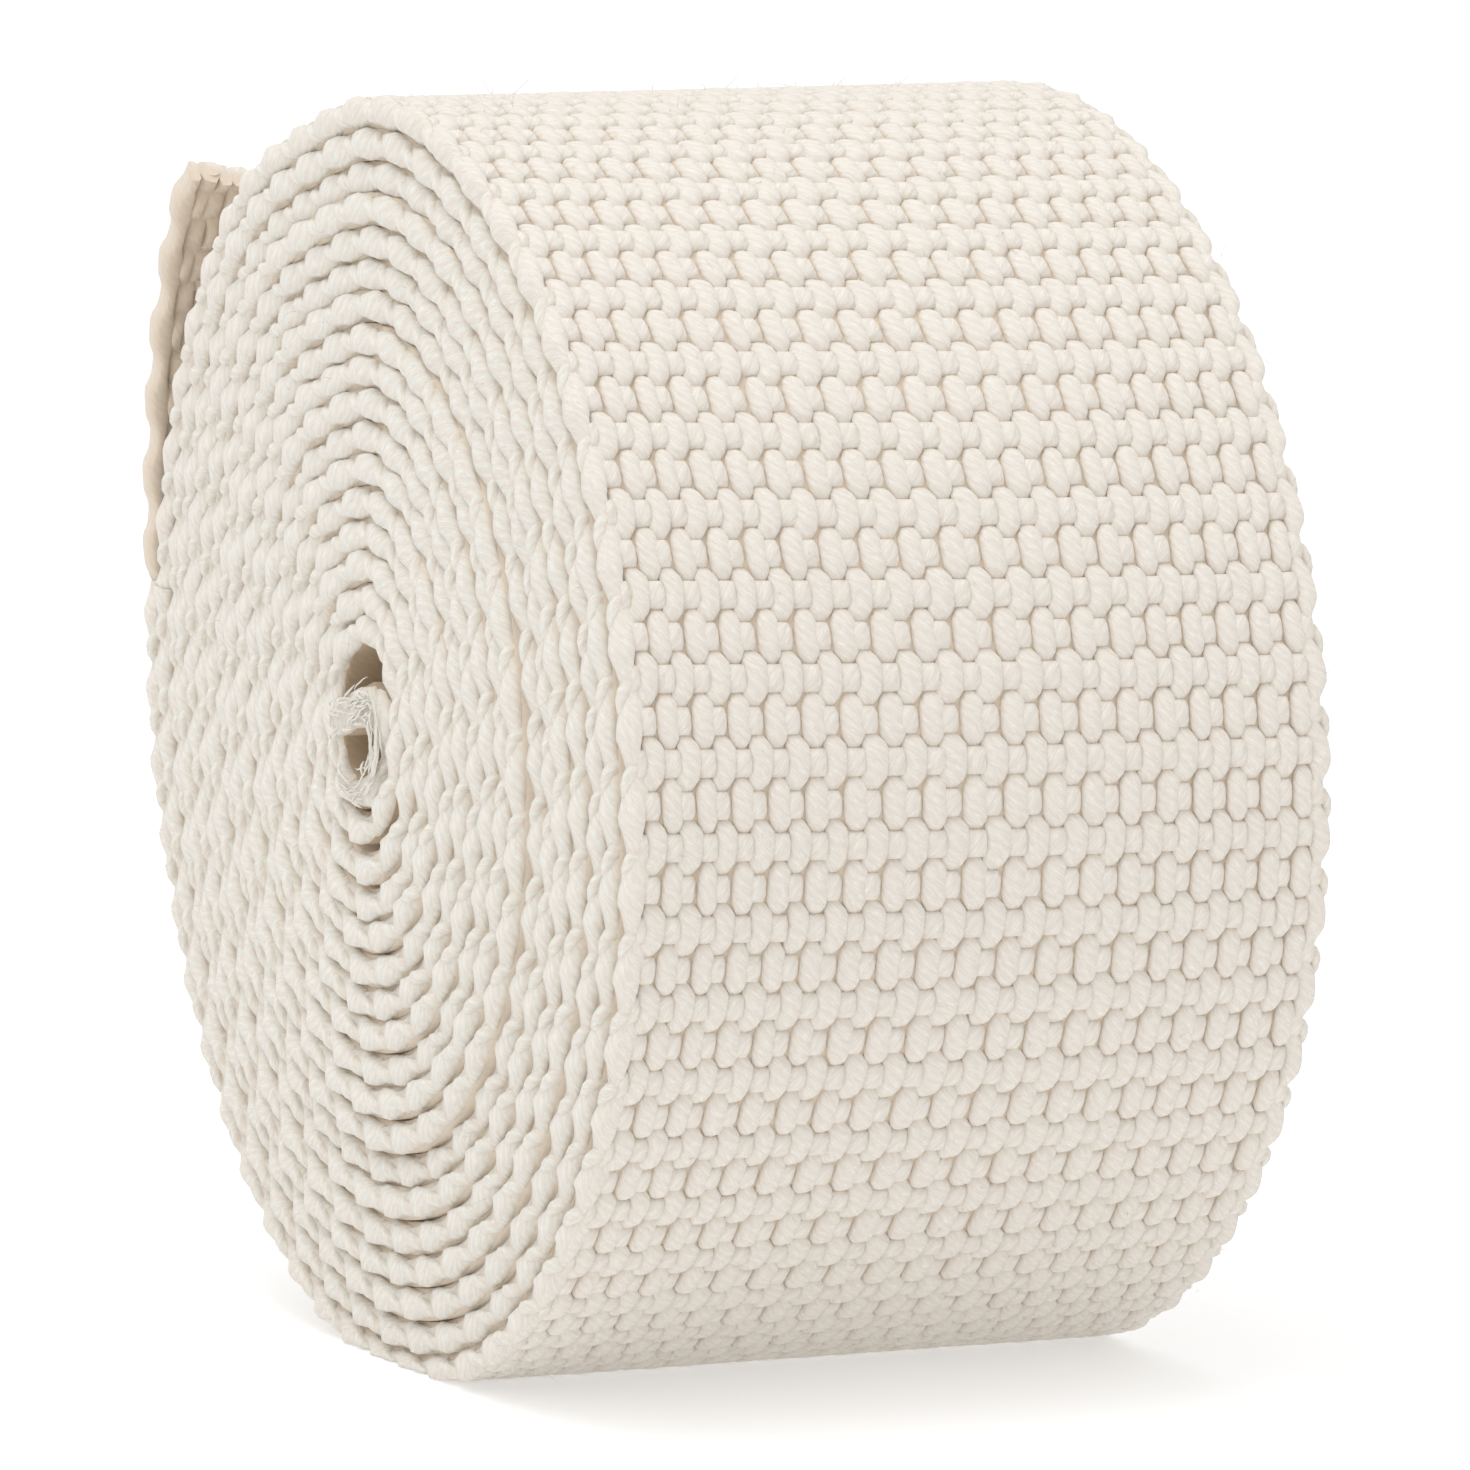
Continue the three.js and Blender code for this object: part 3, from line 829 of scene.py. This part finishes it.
class WEBBING_OT_frayed_end(bpy.types.Operator):
    """Lays the frayed threads of the inner end along it, out over the near end face"""

    bl_idname = "webbing.frayed_end"
    bl_label = "Fray Inner End"

    def execute(self, context):
        line = WoundLine(context.scene.roll_sizes)
        sizes = line.sizes
        random = np.random.default_rng(SEED + 2)
        count = FRAYED["count"]
        share = np.linspace(0.0, 1.0, FRAYED["rings"])[None, :]
        start = line.end - random.uniform(0.0, FRAYED["over"], count)[:, None]
        long = random.uniform(*FRAYED["long"], count)[:, None]
        long = np.where(random.random(count)[:, None] < 0.5, -long, long)
        along = np.minimum(start + share * long, line.end - FRAYED["stop"])
        bulge = random.uniform(*FRAYED["bulge"], count)[:, None]
        across = -sizes.width / 2 - FRAYED["stand"] - bulge * np.sin(np.pi * share) ** FRAYED["power"]
        tilt = random.normal(0.0, FRAYED["tilt"], count)[:, None]
        spread = random.uniform(-FRAYED["spread"], FRAYED["spread"], count)[:, None]
        out = spread * sizes.thickness + tilt * share
        out = out + FRAYED["wave"] * np.sin(TAU * share * random.uniform(*FRAYED["waves"], count)[:, None])
        spine = line.place(along, across, out)
        around = np.radians(even_degrees(FRAYED["sides"]))
        ring = rings_about(spine, np.array([1.0, 0.0, 0.0]), around)
        full = FRAYED["tip"] + (1.0 - FRAYED["tip"]) * np.sin(np.pi * share)
        thick = random.uniform(*FRAYED["thick"], count)[:, None] * full
        points = spine[:, :, None] + thick[:, :, None, None] * ring
        uv = yarn_uv(THREAD_ROUND, around, 0.0, along[..., None])
        # Selvedge share 1: the frayed threads get the end faces' painted whitening.
        piece(tube_mesh("frayed_threads", [(points, uv, np.zeros(points.shape[:3]), 1.0)]), context)
        return {"FINISHED"}


class WEBBING_OT_stray_fibres(bpy.types.Operator):
    """Adds the fuzz of stray cotton fibres on the outer turn and the selvedges"""

    bl_idname = "webbing.stray_fibres"
    bl_label = "Add Stray Fibres"

    def execute(self, context):
        line = WoundLine(context.scene.roll_sizes)
        sizes = line.sizes
        random = np.random.default_rng(SEED + 1)
        count = STRAY["count"]
        edge = random.random(count) < STRAY["edge"]
        wound = random.uniform(0.0, line.end, count)
        outer = random.uniform(0.0, line.at_turn(1.0), count)
        along = np.where(edge, wound, outer)
        ends = np.where(random.random(count) < 0.5, -1.0, 1.0)
        inside = random.uniform(-0.5, 0.5, count) * sizes.width
        across = np.where(edge, ends * (sizes.width / 2 - STRAY["inset"]), inside)
        out = np.where(edge, random.uniform(-0.5, 0.5, count), STRAY["stand"]) * sizes.thickness
        long = random.gamma(STRAY["shape"], STRAY["long"], count)
        heading = random.normal(0.0, 1.0, (count, 3))
        heading[:, 0] += np.where(edge, ends * STRAY["outward"], 0.0)
        heading[:, 2] = np.abs(heading[:, 2]) * np.where(edge, 0.3, 0.7) + np.where(edge, 0.0, 0.25)
        heading /= np.linalg.norm(heading, axis=1, keepdims=True)
        curl = random.normal(0.0, STRAY["curl"], (count, 3))
        share = np.linspace(0.0, 1.0, STRAY["rings"])
        reach = share[None, :, None] * heading[:, None] + (share ** 2)[None, :, None] * curl[:, None] * 0.5
        reach = reach * long[:, None, None]
        spine = line.place(along[:, None] + reach[..., 1], across[:, None] + reach[..., 0],
                           out[:, None] + reach[..., 2])
        spine[..., 2] = np.maximum(spine[..., 2], STRAY["floor"])
        heading = np.gradient(spine, axis=1)
        heading /= np.linalg.norm(heading, axis=2, keepdims=True)
        aside = np.where(np.abs(heading[..., :1]) < 0.8, np.array([1.0, 0.0, 0.0]), np.array([0.0, 1.0, 0.0]))
        around = np.radians(even_degrees(STRAY["sides"]))
        thick = (STRAY["thick"] * (1.0 - STRAY["taper"] * share))[None, :, None, None]
        points = spine[:, :, None] + thick * rings_about(spine, aside, around)
        uv = np.zeros((count, len(share), len(around) + 1, 2))
        piece(tube_mesh("stray_fibres", [(points, uv, np.zeros(points.shape[:3]), 0.0)]), context)
        return {"FINISHED"}


def fill(tree, made, inputs):
    """Sets a node's inputs, by name or place, to values or to sockets that are linked to them."""
    for place, value in inputs.items():
        if isinstance(value, bpy.types.NodeSocket):
            tree.links.new(value, made.inputs[place])
        else:
            made.inputs[place].default_value = value


def node(tree, kind, inputs, **settings):
    """A new node with its settings and inputs, and its outputs."""
    made = tree.nodes.new(kind)
    for name, value in settings.items():
        setattr(made, name, value)
    fill(tree, made, inputs)
    return made.outputs


def maths(tree, operation, *values):
    """The result of a math node."""
    return node(tree, "ShaderNodeMath", dict(enumerate(values)), operation=operation)[0]


def ranged(tree, value, low, high, kind="LINEAR"):
    """A value's share of the way from low to high, from 0 to 1."""
    inputs = {"Value": value, "From Min": low, "From Max": high}
    return node(tree, "ShaderNodeMapRange", inputs, interpolation_type=kind)[0]


def mixed(tree, share, first, second):
    """A mix of two colours, each a colour or a socket."""
    first, second = (
        value if isinstance(value, bpy.types.NodeSocket) else (*value, 1.0) for value in (first, second)
    )
    return node(tree, "ShaderNodeMix", {"Factor": share, 6: first, 7: second}, data_type="RGBA")[2]


def ply_group():
    """Plied yarn in its own uv, in millimetres: ridges that run round it aslant, and fine fibres.

    A ridge is a half and half a sine of v less u, over the ply length, with a slow drift.
    """
    tree = bpy.data.node_groups.new("plied_yarn", "ShaderNodeTree")
    tree.interface.new_socket(name="Along", in_out="INPUT", socket_type="NodeSocketVector")
    ply = tree.interface.new_socket(name="Ply Length", in_out="INPUT", socket_type="NodeSocketFloat")
    ply.default_value = 0.6
    for label in ("Ridge", "Fibre"):
        tree.interface.new_socket(name=label, in_out="OUTPUT", socket_type="NodeSocketFloat")
    start = node(tree, "NodeGroupInput", {})
    along = start["Along"]
    split = node(tree, "ShaderNodeSeparateXYZ", {0: along})
    wander = node(tree, "ShaderNodeTexNoise", {"Vector": along, "Scale": 0.9, "Detail": 1.0})
    drift = maths(tree, "MULTIPLY", wander["Fac"], 1.6)
    count = maths(tree, "DIVIDE", maths(tree, "SUBTRACT", split["Y"], split["X"]), start["Ply Length"])
    count = maths(tree, "ADD", count, drift)
    wave = maths(tree, "SINE", maths(tree, "MULTIPLY", count, TAU))
    ridge = maths(tree, "MULTIPLY_ADD", wave, 0.5, 0.5)
    aslant = node(tree, "ShaderNodeMapping", {"Vector": along, "Rotation": (0.0, 0.0, np.radians(-45.0))})
    stretch = node(tree, "ShaderNodeMapping", {"Vector": aslant[0], "Scale": (1.3, 9.0, 1.0)})
    fine = {"Vector": stretch[0], "Scale": 1.6, "Detail": 4.0, "Roughness": 0.65}
    fibre = node(tree, "ShaderNodeTexNoise", fine)["Fac"]
    node(tree, "NodeGroupOutput", {"Ridge": ridge, "Fibre": fibre})
    return tree


def cotton_material(context):
    """Natural cotton: pale yarn, painted whiter on the end faces as a painted highlight, with painted shade:
    beige in its grooves and on the loose end's inner face, and dark in the core.

    It has bright flecks, ply ridges painted lighter on their crests and darker between them as painted
    highlight and shade, and a soft sheen.
    """
    made = bpy.data.materials.get("natural_cotton")
    if made:
        return made
    look = context.scene.cotton_look
    made = bpy.data.materials.new("natural_cotton")
    made.use_nodes = True
    tree = made.node_tree
    place = node(tree, "ShaderNodeUVMap", {}, uv_map="yarn")[0]
    ply = node(tree, "ShaderNodeGroup", {}, node_tree=ply_group())
    tree.links.new(place, ply["Ridge"].node.inputs["Along"])
    depth, selvedge = (
        node(tree, "ShaderNodeAttribute", {}, attribute_name=name)["Fac"] for name in ("depth", "selvedge")
    )
    # Painted shade: the groove colour is laid where the depth attribute says a point lies deep.
    groove_shade = ranged(tree, depth, 0.15, 0.85, "SMOOTHSTEP")
    # Painted highlight: yarns marked by the selvedge attribute, on the end faces, are painted whiter for the
    # stronger light there.
    crown = mixed(tree, selvedge, look.crown, look.selvedge)
    # Painted highlight and shade on the plies: lighter on the ridges' crests, darker in the valleys between
    # them.
    base = mixed(tree, maths(tree, "POWER", ply["Ridge"], 2.0), look.ply_valley_shade, crown)
    base = mixed(tree, ranged(tree, ply["Fibre"], 0.5, 0.8), base, look.fleck)
    # Lays on the painted groove shade.
    base = mixed(tree, maths(tree, "MULTIPLY", groove_shade, look.groove_shade_share), base, look.groove_shade)
    # Painted shade: the core darkens to the shade colour as the depth goes from 1 to 2.
    base = mixed(tree, ranged(tree, depth, 1.0, 2.0), base, look.shade)
    height = maths(tree, "ADD", ply["Ridge"], ply["Fibre"])
    relief = {"Strength": look.relief, "Distance": look.relief_height, "Height": height}
    fill(tree, tree.nodes["Principled BSDF"], {
        "Base Color": base,
        "Normal": node(tree, "ShaderNodeBump", relief)[0],
        "Roughness": look.roughness,
        "Specular IOR Level": look.gloss,
        "Sheen Weight": look.sheen,
        "Sheen Roughness": look.sheen_roughness,
    })
    return made


def set_floor(scene):
    """A flat square floor, pale, matt and softly glowing."""
    corners = [(x * FLOOR_HALF, y * FLOOR_HALF, 0) for x, y in ((-1, -1), (1, -1), (1, 1), (-1, 1))]
    mesh = bpy.data.meshes.new("floor")
    mesh.from_pydata(corners, [], [(0, 1, 2, 3)])
    floor = bpy.data.objects.new("floor", mesh)
    scene.collection.objects.link(floor)
    pale = bpy.data.materials.new("pale_floor")
    pale.use_nodes = True
    fill(pale.node_tree, pale.node_tree.nodes["Principled BSDF"], {
        "Base Color": (FLOOR_GREY, FLOOR_GREY, FLOOR_GREY, 1.0),
        "Roughness": FLOOR_ROUGHNESS,
        "Emission Color": (1.0, 1.0, 1.0, 1.0),
        "Emission Strength": FLOOR_GLOW,
    })
    mesh.materials.append(pale)


def set_world(scene):
    """White light all round, whose strength grows with the height of where it comes from."""
    look = scene.stage_look
    world = bpy.data.worlds.new("white_room")
    world.use_nodes = True
    tree = world.node_tree
    place = node(tree, "ShaderNodeTexCoord", {})["Generated"]
    high = node(tree, "ShaderNodeSeparateXYZ", {0: place})["Z"]
    glow = {"Value": high, "To Min": look.glow_low, "To Max": look.glow_high}
    glow = node(tree, "ShaderNodeMapRange", glow)[0]
    fill(tree, tree.nodes["Background"], {"Color": (1.0, 1.0, 1.0, 1.0), "Strength": glow})
    scene.world = world


def area_light(scene, aim, name, place, size, power):
    """A rectangular light at a place, turned to its aim."""
    lamp = bpy.data.lights.new(name, "AREA")
    lamp.shape = "RECTANGLE"
    lamp.size, lamp.size_y = size
    lamp.energy = power
    thing = bpy.data.objects.new(name, lamp)
    scene.collection.objects.link(thing)
    thing.location = place
    thing.rotation_euler = (aim - Vector(place)).to_track_quat("-Z", "Y").to_euler()


def set_camera(scene, middle):
    """The camera at its angle, moved aside so that the roll's middle falls where the picture has it."""
    look = scene.stage_look
    azimuth, elevation = np.radians(look.azimuth), np.radians(look.elevation)
    level = np.cos(elevation)
    back = Vector((np.sin(azimuth) * level, -np.cos(azimuth) * level, np.sin(elevation)))
    right = Vector((np.cos(azimuth), np.sin(azimuth), 0.0))
    to_metres = MM / look.scale
    aim = middle - right * (look.middle_x - PICTURE / 2) * to_metres
    aim -= back.cross(right) * (PICTURE / 2 - look.middle_y) * to_metres
    camera = bpy.data.cameras.new("camera")
    camera.sensor_width = SENSOR
    camera.lens = SENSOR * look.scale * (look.distance / MM) / PICTURE
    camera.clip_start = CLIP_START
    thing = bpy.data.objects.new("camera", camera)
    scene.collection.objects.link(thing)
    thing.location = aim + back * look.distance
    thing.rotation_euler = back.to_track_quat("Z", "Y").to_euler()
    scene.camera = thing


class WEBBING_OT_stage(bpy.types.Operator):
    """Sets the plain pale floor, the soft lights and the camera"""

    bl_idname = "webbing.stage"
    bl_label = "Set Stage"

    def execute(self, context):
        scene = context.scene
        middle = Vector((0.0, 0.0, scene.roll_sizes.axis_height))
        set_floor(scene)
        set_world(scene)
        for light in LIGHTS:
            area_light(scene, middle, **light)
        set_camera(scene, middle)
        scene.view_settings.view_transform = "Standard"
        return {"FINISHED"}


STEPS = (
    WEBBING_OT_outer_turn,
    WEBBING_OT_inner_turns,
    WEBBING_OT_loose_end,
    WEBBING_OT_frayed_end,
    WEBBING_OT_stray_fibres,
    WEBBING_OT_stage,
)

GROUPS = {
    "roll_sizes": RollSizes,
    "weave_sizes": WeaveSizes,
    "cotton_look": CottonLook,
    "stage_look": StageLook,
}


class WEBBING_PT_roll(bpy.types.Panel):
    """Lists the steps that make the roll, with their sizes, colours and angles"""

    bl_idname = "WEBBING_PT_roll"
    bl_label = "Cotton Webbing Roll"
    bl_space_type = "VIEW_3D"
    bl_region_type = "UI"
    bl_category = "Webbing"

    def draw(self, context):
        for step in STEPS:
            self.layout.operator(step.bl_idname)
        for name, group in GROUPS.items():
            box = self.layout.box()
            for setting in group.__annotations__:
                box.prop(getattr(context.scene, name), setting)


def register():
    for name, group in GROUPS.items():
        bpy.utils.register_class(group)
        setattr(bpy.types.Scene, name, bpy.props.PointerProperty(type=group))
    for step in STEPS:
        bpy.utils.register_class(step)
    bpy.utils.register_class(WEBBING_PT_roll)


def unregister():
    bpy.utils.unregister_class(WEBBING_PT_roll)
    for step in reversed(STEPS):
        bpy.utils.unregister_class(step)
    for name, group in reversed(GROUPS.items()):
        delattr(bpy.types.Scene, name)
        bpy.utils.unregister_class(group)


def main():
    register()
    bpy.ops.webbing.outer_turn()
    bpy.ops.webbing.inner_turns()
    bpy.ops.webbing.loose_end()
    bpy.ops.webbing.frayed_end()
    bpy.ops.webbing.stray_fibres()
    bpy.ops.webbing.stage()


if __name__ == "__main__":
    main()
